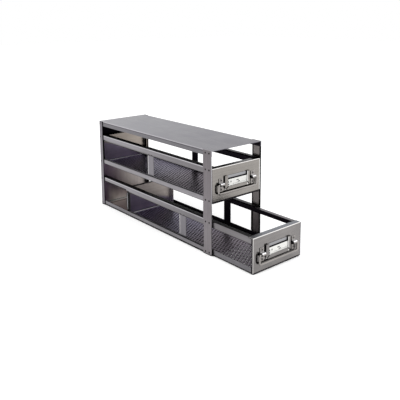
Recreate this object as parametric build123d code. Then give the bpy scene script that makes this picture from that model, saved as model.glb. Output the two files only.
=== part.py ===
from build123d import *
import os

# Freezer drawer rack: an open frame of folded stainless sheet that holds two drawers, one above the
# other. Each drawer has windowed sides, a perforated floor, a card holder and a swinging bail handle.
# Millimetres, +Z up, front at -Y, right side at +X. The origin is the middle of the rack's underside.

# Rack frame
rack_width = 140.0  # outside, over the posts
rack_depth = 428.0  # front edge of the posts to the rear face
rack_gauge = 1.2  # sheet of the cover, shelves and rails
post_gauge = 1.5  # sheet of the front posts and the rear panel
post_width = 25.0  # front to back
rear_flange = 14.5  # side flange of the rear panel, front to back
cover_flange = 11.5  # side flange of the cover, outside height
shelf_flange = 11.0  # turned-up side of a shelf, outside height
rail_height = 12.2
rail_leg = 10.8  # top leg of a guide rail, outside width
head_room = 33.6  # from the top of a rail to the underside of what is above it
rack_bend = 1.0  # inside radius of the rack's folds
rear_bend = 1.6  # inside radius of the rear panel's folds
runner_setback = 5.0  # rails and shelf flanges start this far behind the front edge
corner_relief = 2.4  # square notch where a shelf or the cover meets a fold of the rear panel
levels = ["lower", "upper"]

# Drawers
drawer_height = 70.0
drawer_gauge = 1.0
front_gauge = 1.2
front_side_gap = 1.0  # front panel to post
body_side_gap = 1.3  # drawer side to shelf flange
slide_gap = 0.3  # drawer to the shelf that it slides on
rim_gap = 1.7  # top of a drawer to the rail over it
front_inset = 1.0  # face of a closed drawer behind the front edge of the posts
closing_gap = 0.7  # closed drawer to the rear panel
lower_pull = 114.0  # the lower drawer stands open by this much
drawer_bend = 1.0  # inside radius of the drawer's folds
lap_gap = 0.1  # room between sheets that slip into one another
rim_lip = 10.0  # inward lip along the top of a side
base_lip = 8.0  # inward lip along the bottom of a side
front_lip = 12.0  # lip along the top of the front panel
front_tab = 9.0  # inward tab at the front end of a side
rear_lip = 8.0  # lips along the top and bottom of the rear wall
rear_tab = 12.0  # forward tab at each end of the rear wall
rim_break = 1.6  # slot between the front lip and a side's lip
window_over = 13.7  # band over a side window
window_under = 11.1  # band under a side window
window_front = 4.0  # band before it
window_rear = 6.8  # band behind it
window_corner = 1.5
divider_width = 21.8
divider_place = 211.0  # middle of the divider behind the face of the drawer
divider_end = 7.7  # how far the divider laps onto the band at its top and bottom
hole_size = 9.0  # perforation of the floor
hole_pitch = 14.5
floor_margin = 6.0  # plain edge of the floor around its holes

# Stops: an ear at the rear of each drawer side meets a lip on the front post
ear_reach = 2.2
ear_height = 40.0
stop_side_gap = 0.6  # drawer side to the post's lip
stop_end_gap = 1.5  # above and below the post's lip

# Rivets
frame_rivet_head = 3.2
frame_rivet_rise = 0.5
frame_rivet_shank = 2.4
frame_rivet_tail = 2.8
frame_tail_rise = 0.5
post_rivet_depths = [7.0, 18.0]  # behind the front edge
rear_rivet_depth = 4.5  # before the rear face
side_rivet_head = 2.8
side_rivet_rise = 0.5
side_rivet_shank = 1.6
side_rivet_spread = 11.0  # between the two rivets of a row
side_rivet_drop = 10.9  # upper row, below the top of the drawer
side_rivet_lift = 7.5  # lower row, above the bottom of the drawer
strap_rivet_head = 4.8
strap_rivet_rise = 1.1
strap_rivet_shank = 2.4
strap_rivet_tail = 4.0
strap_tail_rise = 0.8
rivet_hole_gap = 0.1  # hole over shank, in diameter

# Card holder and card
holder_side_gap = 4.5  # card holder to a strap of the handle
holder_height = 29.6
holder_base = 20.4  # above the bottom of the drawer
holder_gauge = 0.8
holder_rise = 3.3  # in front of the panel
holder_side_lip = 8.0
holder_bottom_lip = 7.0
holder_corner = 6.0  # cut across the bottom corners
holder_bend = 0.3
mitre_slot = 0.8  # between the channels, measured across the holder
card_side_gap = 1.2
card_height = 19.7
card_thickness = 0.5
card_seat_gap = 0.3

# Bail handle and its straps
bail_wire = 4.2
bail_span = 107.0  # between the middles of the arms
bail_drop = 18.3  # pivot to the middle of the grip
bail_corner = 4.0  # radius at the middle of the wire
bail_pivot_height = 34.6  # above the bottom of the drawer
bail_stand = 4.2  # pivot in front of the panel's face
bail_end_gap = 1.5  # end of the wire inside the edge of its strap
strap_side_gap = 1.9  # strap to the arm of the wire beside it
strap_width = 10.0
strap_gauge = 1.2
strap_base = 19.5
strap_top = 47.0
strap_rivet_low = 24.5
strap_rivet_high = 43.4
strap_bend = 0.6
pivot_gap = 0.3  # wire to the hump of its strap, all round

# Places that follow from the sizes
front_edge = -rack_depth / 2
rear_face = rack_depth / 2
rear_inner = rear_face - post_gauge
post_outer = rack_width / 2
post_inner = post_outer - post_gauge
runner_inner = post_inner - rack_gauge
panel_half = post_inner - front_side_gap
body_half = runner_inner - body_side_gap
body_inner = body_half - drawer_gauge
drawer_seat = rack_gauge + slide_gap  # bottom of a drawer over the underside of its shelf
drawer_length = rack_depth - front_inset - closing_gap - post_gauge
rail_top = drawer_seat + drawer_height + rim_gap + rack_gauge
rail_base = rail_top - rail_height
shelf_pitch = rail_top + head_room
rack_height = len(levels) * shelf_pitch
shelf_heights = [level * shelf_pitch for level in range(len(levels))]
runner_end = rear_inner - rear_bend - lap_gap
floor_top = 2 * drawer_gauge
strap_middle = bail_span / 2 - bail_wire / 2 - strap_side_gap - strap_width / 2
holder_width = 2 * (strap_middle - strap_width / 2 - holder_side_gap)
frame_grip = post_gauge + rack_gauge
frame_rows = [rack_height - cover_flange / 2]
for shelf_height in shelf_heights:
    frame_rows += [shelf_height + shelf_flange / 2, shelf_height + rail_base + rail_height / 2]


def folded(path, gauge, bends):
    """The section of a folded sheet. The path is one face of it, and the metal lies on its left."""
    points = [Vector(*point) for point in path]
    runs = [(end - start).normalized() for start, end in zip(points, points[1:])]
    sides = [run.rotate(Axis.Z, 90) for run in runs]
    turns = [first.cross(second).Z for first, second in zip(runs, runs[1:])]
    if not isinstance(bends, list):
        bends = [bends] * len(turns)
    far = [points[0] + sides[0] * gauge]
    for corner, first, second in zip(points[1:-1], sides, sides[1:]):
        far.append(corner + (first + second) * (gauge / (1 + first.dot(second))))
    far.append(points[-1] + sides[-1] * gauge)
    near_radii = [bend + gauge if turn > 0 else bend for bend, turn in zip(bends, turns)]
    far_radii = [bend if turn > 0 else bend + gauge for bend, turn in zip(bends, turns)]
    near_line = FilletPolyline(*points, radius=near_radii)
    far_line = FilletPolyline(*far, radius=far_radii)
    return make_face([near_line, Line(points[-1], far[-1]), far_line, Line(far[0], points[0])])


def along_x(section, start, end):
    """A section drawn in Y and Z, carried from one X to another."""
    return Pos(start, 0, 0) * extrude(Plane.YZ * section, end - start)


def along_y(section, start, end):
    """A section drawn in X and Z, carried from one Y to another."""
    return Pos(0, end, 0) * extrude(Plane.XZ * section, end - start)


def along_z(section, start, end):
    """A section drawn in X and Y, carried from one Z to another."""
    return Pos(0, 0, start) * extrude(section, end - start)


def block(x_range, y_range, z_range):
    """A box between two places on each axis."""
    ranges = (x_range, y_range, z_range)
    middle = [(low + high) / 2 for low, high in ranges]
    return Pos(*middle) * Box(*[high - low for low, high in ranges])


def both_sides(right_part):
    """A part for the right side and its mirror image for the left."""
    return {"right": right_part, "left": mirror(right_part, about=Plane.YZ)}


def rivet(grip, shank, head, rise, tail, tail_rise):
    """A rivet on the X axis: its domed head bears on x = 0 and its shank runs to x = -grip."""
    dome = TangentArc((rise, 0), (0, head / 2), tangent=(0, 1))
    body = Polyline(
        (0, head / 2),
        (0, shank / 2),
        (-grip, shank / 2),
        (-grip, tail / 2),
        (-grip - tail_rise, tail / 2),
        (-grip - tail_rise, 0),
        (rise, 0),
    )
    return revolve(make_face([dome, body]), Axis.X, 360)


def drilled(part, places, shank, turn):
    """A part with a rivet hole through it at each place; the turn lays the drill along its axis."""
    reach = 2 * (frame_grip + strap_gauge)
    drill = turn * Cylinder((shank + rivet_hole_gap) / 2, reach)
    return part - [Pos(*place) * drill for place in places]


along_x_turn = Rot(0, 90, 0)
along_y_turn = Rot(90, 0, 0)


def frame_rivet_places(depths):
    """Where the frame's rivets bear on the outer face of the right side, row by row."""
    return [(post_outer, depth, height) for height in frame_rows for depth in depths]


post_rivet_places = frame_rivet_places([front_edge + depth for depth in post_rivet_depths])
rear_rivet_places = frame_rivet_places([rear_face - rear_rivet_depth])


def frame_drilled(part):
    """A part of the frame with its rivet holes on the right side and the left."""
    places = post_rivet_places + rear_rivet_places
    places += [(-x, y, z) for x, y, z in places]
    return drilled(part, places, frame_rivet_shank, along_x_turn)


def make_cover():
    """The top sheet with a flange down each side."""
    path = [
        (-post_inner, rack_height - cover_flange),
        (-post_inner, rack_height),
        (post_inner, rack_height),
        (post_inner, rack_height - cover_flange),
    ]
    sheet = along_y(folded(path[::-1], rack_gauge, rack_bend), front_edge, rear_inner)
    return frame_drilled(relieved(sheet))


def relieved(sheet):
    """A sheet with a notch in each rear corner, clear of the rear panel's folds."""
    notch = block(
        (post_inner - corner_relief, post_inner),
        (rear_inner - corner_relief, rear_inner),
        (0, rack_height),
    )
    return sheet - list(both_sides(notch).values())


def make_shelf(height):
    """A shelf: a plain sheet with its sides turned up, set back at the front for the drawer's panel."""
    path = [
        (-post_inner, height + shelf_flange),
        (-post_inner, height),
        (post_inner, height),
        (post_inner, height + shelf_flange),
    ]
    sheet = along_y(folded(path, rack_gauge, rack_bend), front_edge, rear_inner)
    setback = block(
        (body_half, post_inner),
        (front_edge, front_edge + runner_setback),
        (height, height + shelf_flange),
    )
    return frame_drilled(relieved(sheet) - list(both_sides(setback).values()))


def make_rail(height):
    """The right guide rail of a level: an angle whose top leg lies over the drawer's rim."""
    path = [
        (post_inner, height + rail_base),
        (post_inner, height + rail_top),
        (post_inner - rail_leg, height + rail_top),
    ]
    rail = along_y(folded(path, rack_gauge, rack_bend), front_edge + runner_setback, runner_end)
    return frame_drilled(rail)


def make_post():
    """The right front post: a flat strip, with a lip behind it at each level that stops the drawer."""
    strip = block((post_inner, post_outer), (front_edge, front_edge + post_width), (0, rack_height))
    lip_tip = body_half + stop_side_gap
    path = [
        (post_outer, front_edge),
        (post_outer, front_edge + post_width),
        (lip_tip, front_edge + post_width),
    ]
    section = folded(path, post_gauge, rack_bend / 2)
    for height in shelf_heights:
        low = height + shelf_flange + stop_end_gap
        high = height + rail_base - stop_end_gap
        strip -= block((lip_tip, post_outer), (front_edge, front_edge + post_width), (low, high))
        strip += along_z(section, low, high)
    return frame_drilled(strip)


def make_rear_panel():
    """The rear panel, full height, with a flange forward along each side."""
    flange_end = rear_face - rear_flange
    path = [
        (post_outer, flange_end),
        (post_outer, rear_face),
        (-post_outer, rear_face),
        (-post_outer, flange_end),
    ]
    return frame_drilled(along_z(folded(path, post_gauge, rear_bend), 0, rack_height))


def make_frame_rivets(places):
    """The rivets at the given places of the right side."""
    one = rivet(
        frame_grip, frame_rivet_shank, frame_rivet_head, frame_rivet_rise, frame_rivet_tail, frame_tail_rise
    )
    return Compound([Pos(*place) * one for place in places])


# Every drawer part is drawn with the drawer's face at y = 0 and its bottom at z = 0.
tab_front = front_gauge
tab_back = front_gauge + drawer_gauge
floor_front = tab_back + lap_gap
wall_front = drawer_length - drawer_gauge  # inner face of the rear wall
rim_front = front_lip + rim_break
rim_under = drawer_height - drawer_gauge
divider_low = window_under - divider_end
divider_high = drawer_height - window_over + divider_end
strap_rivet_places = [
    (side * strap_middle, -strap_gauge, height)
    for side in (-1, 1)
    for height in (strap_rivet_low, strap_rivet_high)
]
side_rivet_places = [
    (body_half, divider_place + side * side_rivet_spread / 2, height)
    for side in (-1, 1)
    for height in (side_rivet_lift, drawer_height - side_rivet_drop)
]


def make_front_panel():
    """The front panel, wider than the drawer's body, with a lip folded back along its top."""
    path = [(front_lip, drawer_height), (0, drawer_height), (0, 0)]
    panel = along_x(folded(path, front_gauge, rack_bend), -panel_half, panel_half)
    overhang = block((body_half, panel_half), (front_gauge, front_lip), (0, drawer_height))
    panel -= list(both_sides(overhang).values())
    return drilled(panel, strap_rivet_places, strap_rivet_shank, along_y_turn)


def make_side():
    """The right side: a sheet with one long window, lips along its top and bottom, a tab at the front
    and a stop ear at the rear."""
    bend_reach = drawer_bend + drawer_gauge
    path = [
        (body_half - base_lip, 0),
        (body_half, 0),
        (body_half, drawer_height),
        (body_half - rim_lip, drawer_height),
    ]
    side = along_y(folded(path, drawer_gauge, drawer_bend), tab_front + bend_reach, drawer_length)
    rim_notch = block(
        (body_half - rim_lip, body_half),
        (tab_front, rim_front),
        (drawer_height - front_gauge - lap_gap - drawer_bend, drawer_height),
    )
    side -= rim_notch
    tab_path = [
        (body_half - front_tab, tab_front),
        (body_half, tab_front),
        (body_half, tab_front + 2 * bend_reach),
    ]
    tab = folded(tab_path, drawer_gauge, drawer_bend)
    side += along_z(tab, floor_top + lap_gap, drawer_height - front_gauge - lap_gap - drawer_bend)
    side -= make_window()
    ear_low = (drawer_height + window_under - window_over - ear_height) / 2
    ear_path = [
        (body_half, drawer_length - window_rear),
        (body_half, wall_front),
        (body_half + ear_reach, wall_front),
    ]
    side -= block(
        (body_inner, body_half),
        (drawer_length - window_rear, drawer_length),
        (ear_low, ear_low + ear_height),
    )
    side += along_z(folded(ear_path, drawer_gauge, drawer_bend), ear_low, ear_low + ear_height)
    return drilled(side, side_rivet_places, side_rivet_shank, along_x_turn)


def make_window():
    """The long window of a side, as the solid that is cut away."""
    length = drawer_length - window_front - window_rear
    height = drawer_height - window_over - window_under
    middle = (window_front + length / 2, window_under + height / 2)
    outline = Pos(*middle) * RectangleRounded(length, height, window_corner)
    return along_x(outline, body_inner - drawer_gauge, body_half + drawer_gauge)


def make_divider():
    """The strap that divides the right side's window in two, riveted to the bands above and below."""
    strap = block(
        (body_inner - drawer_gauge, body_inner),
        (divider_place - divider_width / 2, divider_place + divider_width / 2),
        (divider_low, divider_high),
    )
    return drilled(strap, side_rivet_places, side_rivet_shank, along_x_turn)


def make_rear_wall():
    """The rear wall, with tabs inside the two sides and a lip along its top and bottom."""
    half = body_inner - lap_gap
    tab_path = [
        (half, drawer_length - rear_tab),
        (half, drawer_length),
        (-half, drawer_length),
        (-half, drawer_length - rear_tab),
    ]
    tab_top = rim_under - drawer_bend - lap_gap
    wall = along_z(folded(tab_path, drawer_gauge, drawer_bend), floor_top + lap_gap, tab_top)
    top_path = [
        (drawer_length, drawer_height / 2),
        (drawer_length, drawer_height),
        (drawer_length - rear_lip, drawer_height),
    ]
    top_half = body_half - rim_lip - lap_gap
    wall += along_x(folded(top_path, drawer_gauge, drawer_bend), -top_half, top_half)
    base_path = [
        (drawer_length - rear_lip, 0),
        (drawer_length, 0),
        (drawer_length, drawer_height / 2),
    ]
    base_half = body_half - base_lip - lap_gap
    return wall + along_x(folded(base_path, drawer_gauge, drawer_bend), -base_half, base_half)


def make_floor():
    """The perforated floor, with its holes in staggered rows, lying on the lips of the sides."""
    half = body_inner - drawer_bend - lap_gap
    length = wall_front - drawer_bend - lap_gap - floor_front
    row_pitch = hole_pitch * 3**0.5 / 2
    rows = int((half - floor_margin - hole_size / 2) / row_pitch)
    holes = []
    for row in range(-rows, rows + 1):
        stagger = row % 2 / 2
        columns = int((length / 2 - floor_margin - hole_size / 2) / hole_pitch - stagger)
        for column in range(-columns, columns + 1):
            holes.append(Pos(row * row_pitch, (column + stagger) * hole_pitch) * Circle(hole_size / 2))
    sheet = Rectangle(2 * half, length) - holes
    print("floor holes:", len(holes))
    return Pos(0, floor_front + length / 2, drawer_gauge) * extrude(sheet, drawer_gauge)


def make_side_rivets():
    """The small rivets that hold both dividers."""
    one = rivet(
        2 * drawer_gauge, side_rivet_shank, side_rivet_head, side_rivet_rise, side_rivet_head, side_rivet_rise
    )
    right = [Pos(*place) * one for place in side_rivet_places]
    return Compound(right + [mirror(each, about=Plane.YZ) for each in right])


def make_holder():
    """The card holder: a back plate with a folded channel at each side and along its bottom. The
    channels meet in a mitre, and the bottom corners are cut across."""
    half = holder_width / 2
    seam_x = half - holder_side_lip
    base_leg = holder_side_lip / 2
    side_path = [
        (seam_x, -holder_rise),
        (half, -holder_rise),
        (half, 0),
        (half - base_leg, 0),
    ]
    bottom_path = [
        (-holder_rise, holder_bottom_lip),
        (-holder_rise, 0),
        (0, 0),
        (0, base_leg),
    ]
    side_region = [(half, 0), (half, holder_height), (seam_x, holder_height), (seam_x, holder_bottom_lip)]
    bottom_region = [
        (half - mitre_slot, 0),
        (seam_x - mitre_slot, holder_bottom_lip),
        (-seam_x + mitre_slot, holder_bottom_lip),
        (-half + mitre_slot, 0),
    ]
    side = along_z(folded(side_path, holder_gauge, holder_bend), 0, holder_height)
    side &= holder_prism(side_region)
    bottom = along_x(folded(bottom_path, holder_gauge, holder_bend), -half, half)
    bottom &= holder_prism(bottom_region)
    plate_edge = base_leg - holder_gauge
    plate_half = half - plate_edge
    holder = block((-plate_half, plate_half), (-holder_gauge, 0), (plate_edge, holder_height)) + bottom
    for part in both_sides(side).values():
        holder += part
    corner = holder_prism([(half, 0), (half, holder_corner), (half - holder_corner, 0)])
    for part in both_sides(corner).values():
        holder -= part
    return Pos(0, 0, holder_base) * holder


def holder_prism(outline):
    """An outline in X and Z, as deep as the card holder."""
    return along_y(make_face(Polyline(*outline, close=True)), -holder_rise, 0)


def make_card():
    """The blank label card, standing in the holder's channels."""
    back = holder_gauge + card_seat_gap
    base = holder_base + holder_gauge + card_seat_gap
    half = holder_width / 2 - holder_gauge - card_side_gap
    return block((-half, half), (-back - card_thickness, -back), (base, base + card_height))


hump_half = bail_wire / 2 + pivot_gap


def make_strap():
    """The right strap of the handle: a strip with a hump in it that the wire turns in."""
    low = bail_pivot_height - hump_half
    high = bail_pivot_height + hump_half
    hump = -bail_stand - hump_half
    path = [
        (0, strap_base),
        (0, low),
        (hump, low),
        (hump, high),
        (0, high),
        (0, strap_top),
    ]
    wrap = bail_wire / 2
    section = folded(path, strap_gauge, [strap_bend, wrap, wrap, strap_bend])
    strap = along_x(section, strap_middle - strap_width / 2, strap_middle + strap_width / 2)
    return drilled(strap, strap_rivet_places, strap_rivet_shank, along_y_turn)


def make_strap_rivets():
    """The four rivets that hold the straps to the front panel."""
    one = rivet(
        strap_gauge + front_gauge,
        strap_rivet_shank,
        strap_rivet_head,
        strap_rivet_rise,
        strap_rivet_tail,
        strap_tail_rise,
    )
    return Compound([Pos(*place) * Rot(0, 0, -90) * one for place in strap_rivet_places])


def make_bail():
    """The wire handle: a grip, two arms, and ends turned inward through the straps."""
    arm = bail_span / 2
    tip = strap_middle - strap_width / 2 + bail_end_gap
    grip_height = bail_pivot_height - bail_drop
    points = [
        (tip, -bail_stand, bail_pivot_height),
        (arm, -bail_stand, bail_pivot_height),
        (arm, -bail_stand, grip_height),
    ]
    points += [(-x, y, z) for x, y, z in reversed(points)]
    path = FilletPolyline(*points, radius=bail_corner)
    return sweep(Plane(path @ 0, z_dir=path % 0) * Circle(bail_wire / 2), path=path)


def make_drawer():
    """Every part of one drawer, by name."""
    sides = both_sides(make_side())
    dividers = both_sides(make_divider())
    straps = both_sides(make_strap())
    return {
        "front_panel": make_front_panel(),
        "left_side": sides["left"],
        "right_side": sides["right"],
        "rear_wall": make_rear_wall(),
        "floor": make_floor(),
        "left_divider": dividers["left"],
        "right_divider": dividers["right"],
        "divider_rivets": make_side_rivets(),
        "card_holder": make_holder(),
        "label_card": make_card(),
        "left_strap": straps["left"],
        "right_strap": straps["right"],
        "strap_rivets": make_strap_rivets(),
        "bail": make_bail(),
    }


def make_rack():
    """Every part of the frame, by name."""
    posts = both_sides(make_post())
    front_rivets = both_sides(make_frame_rivets(post_rivet_places))
    rear_rivets = both_sides(make_frame_rivets(rear_rivet_places))
    rack = {
        "top_cover": make_cover(),
        "rear_panel": make_rear_panel(),
        "left_post": posts["left"],
        "right_post": posts["right"],
        "left_post_rivets": front_rivets["left"],
        "right_post_rivets": front_rivets["right"],
        "left_rear_rivets": rear_rivets["left"],
        "right_rear_rivets": rear_rivets["right"],
    }
    for level, height in zip(levels, shelf_heights):
        rails = both_sides(make_rail(height))
        rack[f"{level}_shelf"] = make_shelf(height)
        rack[f"{level}_left_rail"] = rails["left"]
        rack[f"{level}_right_rail"] = rails["right"]
    return rack


def main():
    """Write one STEP file for each part."""
    os.makedirs("parts", exist_ok=True)
    parts = make_rack()
    drawer = make_drawer()
    pulls = {"lower": lower_pull, "upper": 0.0}
    for level, height in zip(levels, shelf_heights):
        place = Pos(0, front_edge + front_inset - pulls[level], height + drawer_seat)
        for name, part in drawer.items():
            parts[f"{level}_{name}"] = place * part
    for name, part in parts.items():
        part.label = name
        export_step(part, f"parts/{name}.step")
    travel = wall_front + front_inset - post_width
    print("parts:", len(parts), "drawer length:", drawer_length, "travel to the stop:", travel)


main()
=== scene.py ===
import bmesh
import bpy
import numpy as np
from mathutils import Matrix, Vector


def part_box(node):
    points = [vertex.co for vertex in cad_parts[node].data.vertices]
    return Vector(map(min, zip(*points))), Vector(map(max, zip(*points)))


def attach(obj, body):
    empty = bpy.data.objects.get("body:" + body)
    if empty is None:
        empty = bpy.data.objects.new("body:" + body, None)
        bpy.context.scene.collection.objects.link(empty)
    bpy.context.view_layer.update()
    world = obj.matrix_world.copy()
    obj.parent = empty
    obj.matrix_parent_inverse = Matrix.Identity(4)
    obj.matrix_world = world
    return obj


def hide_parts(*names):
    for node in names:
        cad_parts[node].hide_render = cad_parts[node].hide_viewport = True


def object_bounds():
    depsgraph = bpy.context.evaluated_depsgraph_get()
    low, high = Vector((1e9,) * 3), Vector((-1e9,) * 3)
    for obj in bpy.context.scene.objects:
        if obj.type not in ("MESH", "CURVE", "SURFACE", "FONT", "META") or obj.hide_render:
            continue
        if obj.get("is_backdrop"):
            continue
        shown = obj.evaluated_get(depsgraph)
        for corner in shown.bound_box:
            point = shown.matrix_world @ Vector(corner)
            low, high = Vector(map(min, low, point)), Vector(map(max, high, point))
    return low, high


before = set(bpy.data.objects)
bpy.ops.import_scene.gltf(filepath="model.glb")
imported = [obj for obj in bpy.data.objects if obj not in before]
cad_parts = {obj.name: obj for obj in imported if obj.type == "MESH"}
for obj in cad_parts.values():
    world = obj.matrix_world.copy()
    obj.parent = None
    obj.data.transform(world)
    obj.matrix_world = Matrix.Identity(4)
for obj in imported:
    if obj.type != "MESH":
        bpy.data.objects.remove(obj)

bl_info = {
    "name": "Freezer Drawer Rack",
    "version": (1, 0, 0),
    "blender": (4, 5, 0),
    "location": "View3D > Sidebar > Rack",
    "description": "Dresses a steel freezer rack with two sliding drawers",
    "category": "Object",
}

LEVELS = ("lower", "upper")
SIDES = ("left", "right")
ALONG_X, ALONG_Y, ALONG_Z = 0, 1, 2
MM = 0.001


def paint(red, green, blue):
    """A colour written in 0 to 255 display steps, as the linear values that a shader takes."""
    steps = np.array((red, green, blue)) / 255
    return tuple(np.where(steps < 0.04045, steps / 12.92, ((steps + 0.055) / 1.055) ** 2.4))


def shade_property(name, description, colour):
    """A colour that a user may change."""
    return bpy.props.FloatVectorProperty(
        name=name, description=description, subtype="COLOR", size=3, min=0, max=1, default=paint(*colour)
    )


def length_property(name, description, size):
    """A length in metres that a user may change."""
    return bpy.props.FloatProperty(name=name, description=description, unit="LENGTH", min=0, default=size)


class RackColours(bpy.types.PropertyGroup):
    """The colours of the rack's finishes."""

    cover: shade_property("Cover", "Top of the rack", (129, 128, 134))
    # Painted shade: the cover's top darker towards the drawers
    cover_front_shade: shade_property("Cover, front", "Top of the rack towards the drawers", (119, 117, 124))
    # Painted shade on side faces: the cover's flanges and the drawers' lower bands
    side_shade: shade_property("Cover side", "Side flanges of the cover", (112, 110, 114))
    # Painted shade: dull lines under folds, at edges and on faces turned from the light
    shade_line: shade_property("Fold line", "Dull line under a fold", (84, 81, 87))
    rear: shade_property("Rear", "Side flanges of the rear panel", (118, 114, 120))
    # Painted shade at the left and painted light at the right of the rear panel's inner face
    rear_inside_shade: shade_property("Rear, inside left", "Inner face of the rear panel, left", (124, 107, 130))
    rear_inside_light: shade_property("Rear, inside right", "Inner face of the rear panel, right", (156, 148, 145))
    posts: shade_property("Posts", "Front posts", (112, 107, 110))
    # Painted light towards the foot of the posts
    posts_low_light: shade_property("Posts, low", "Front posts near the bottom", (128, 123, 126))
    # Painted light on the right post's inner face
    post_inside_light: shade_property("Post, inside", "Inner face of the right post", (134, 129, 128))
    runners: shade_property("Runners", "Guide rails and the upper shelf's flanges", (137, 134, 138))
    # Painted shade on the rails towards the posts
    runners_front_shade: shade_property("Runners, front", "Guide rails towards the posts", (116, 113, 116))
    lower_shelf: shade_property("Lower shelf", "Flanges of the lower shelf", (124, 121, 125))
    dividers: shade_property("Dividers", "Dividers of the drawers' windows", (123, 120, 125))
    # Painted light on the shelves' upper faces
    shelf_top_light: shade_property("Shelf top", "Upper faces of the shelves", (176, 162, 162))
    # Painted light and shade: the two fronts are one finish, painted lighter on the upper drawer than on the
    # lower
    upper_front: shade_property("Upper front", "Front of the upper drawer", (138, 134, 130))
    lower_front: shade_property("Lower front", "Front of the lower drawer", (127, 124, 123))
    # Painted shade on the lower front's top lip
    front_lip_shade: shade_property("Front lip", "Lip along the top of the lower front", (112, 115, 122))
    drawers: shade_property("Drawer sides", "Outer faces of the drawers' sides", (120, 117, 119))
    # Painted reflection on the top lips of the right sides
    right_rim_reflection: shade_property("Right rim", "Lip along the top of a right side", (112, 108, 112))
    # Painted light low on the rear panel's inner face
    rear_corner_light: shade_property("Rear, inside low", "Rear panel near the bottom, inside", (240, 236, 228))
    upper_wall: shade_property("Upper rear wall", "Lit part of the upper rear wall", (154, 145, 137))
    lower_wall: shade_property("Lower rear wall", "Lit part of the lower rear wall", (150, 142, 138))
    # Painted shade on the lower part of the drawers' rear walls
    wall_low_shade: shade_property("Rear wall, low", "Lower part of a drawer's rear wall", (124, 114, 132))
    floors: shade_property("Floors", "Perforated floors", (130, 120, 132))
    # Painted shade on the holes' walls and the floors' undersides
    hole_shade: shade_property("Hole walls", "Edges of the floors' holes", (34, 30, 38))
    dark: shade_property("Dark", "Inner faces turned from the light", (26, 22, 29))
    # Painted shade in seams, under parts and on shaded faces, and painted dark reflection on lips
    black: shade_property("Black", "Seams and lips that mirror the dark inside", (10, 8, 13))
    highlight: shade_property("Highlight", "Bright line along a bend", (214, 212, 210))
    # Painted highlight along bends and on the left post's front edge
    bend_highlight: shade_property("Bend line", "Light line along the bends of cover and rails", (178, 176, 180))
    # Painted change of light on the floors towards the rear
    floors_rear_light: shade_property("Floors, rear", "Perforated floors towards the rear", (134, 128, 150))
    straps: shade_property("Straps", "Straps of the handles", (150, 146, 143))
    # Painted highlight on the straps' humps, the rear ears, a wall tab and the rear lines of shelves and
    # floors
    strong_highlight: shade_property("Knuckles", "Tops of the straps' humps", (240, 240, 242))
    holder_plate: shade_property("Holder plate", "Back plates of the card holders", (146, 146, 149))
    wire: shade_property("Wire", "Lit side of the bails", (150, 146, 143))
    rivets: shade_property("Rivets", "Rivet heads", (16, 13, 14))
    strap_rivets: shade_property("Strap rivets", "Heads of the straps' rivets", (150, 146, 146))
    card: shade_property("Card", "Label cards", (244, 244, 240))
    ruling: shade_property("Ruling", "Ruled marks on the cards", (50, 48, 54))


class RackSizes(bpy.types.PropertyGroup):
    """The sizes of the pieces that are made here."""

    hole_pitch: length_property("Hole pitch", "Between two holes of a row", 8.0 * MM)
    hole_size: length_property("Hole size", "Width of a hole", 5.7 * MM)
    plain_edge: length_property("Plain edge", "Sheet without holes along an edge of a floor", 5.0 * MM)
    wire_size: length_property("Wire", "Diameter of a bail's wire", 4.2 * MM)
    wire_bend: length_property("Wire bend", "Radius of a bail's bends, at the middle of the wire", 4.0 * MM)
    wire_end_gap: length_property("Wire end gap", "End of a wire inside the edge of its strap", 1.5 * MM)
    card_corner: length_property("Card corner", "Radius of a card's corners", 1.2 * MM)
    card_bow: length_property("Card bow", "How far a card bows forward at its middle", 0.3 * MM)


def coordinate(tree, scale=(1, 1, 1)):
    """Object coordinates in metres, each axis times its scale."""
    place = tree.nodes.new("ShaderNodeTexCoord")
    mapping = tree.nodes.new("ShaderNodeMapping")
    mapping.inputs["Scale"].default_value = scale
    tree.links.new(place.outputs["Object"], mapping.inputs["Vector"])
    return mapping.outputs["Vector"]


def noise(tree, scale, detail=3.0, roughness=0.55):
    """Noise from 0 to 1, with its own scale along each axis, in waves a metre."""
    texture = tree.nodes.new("ShaderNodeTexNoise")
    texture.inputs["Scale"].default_value = 1.0
    texture.inputs["Detail"].default_value = detail
    texture.inputs["Roughness"].default_value = roughness
    tree.links.new(coordinate(tree, scale), texture.inputs["Vector"])
    return texture.outputs["Fac"]


def ranged(tree, value, low, high, to_low, to_high, smooth=True):
    """A value carried from one range to another, and held at its ends."""
    node = tree.nodes.new("ShaderNodeMapRange")
    node.interpolation_type = "SMOOTHSTEP" if smooth else "LINEAR"
    tree.links.new(value, node.inputs["Value"])
    for socket, number in zip(("From Min", "From Max", "To Min", "To Max"), (low, high, to_low, to_high)):
        node.inputs[socket].default_value = number
    return node.outputs["Result"]


def maths(tree, operation, first, second):
    """Two numbers put together; either may be a socket."""
    node = tree.nodes.new("ShaderNodeMath")
    node.operation = operation
    for socket, value in zip(node.inputs, (first, second)):
        if isinstance(value, bpy.types.NodeSocket):
            tree.links.new(value, socket)
        else:
            socket.default_value = value
    return node.outputs["Value"]


def mixed(tree, mask, first, second, blend="MIX"):
    """Two colours mixed by a mask; each may be a socket or a colour."""
    node = tree.nodes.new("ShaderNodeMix")
    node.data_type = "RGBA"
    node.blend_type = blend
    sockets = [s for s in node.inputs if s.type == "RGBA"]
    for socket, value in zip(sockets, (first, second)):
        if isinstance(value, bpy.types.NodeSocket):
            tree.links.new(value, socket)
        else:
            socket.default_value = (*value, 1)
    if isinstance(mask, bpy.types.NodeSocket):
        tree.links.new(mask, node.inputs["Factor"])
    else:
        node.inputs["Factor"].default_value = mask
    return next(s for s in node.outputs if s.type == "RGBA")


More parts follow.
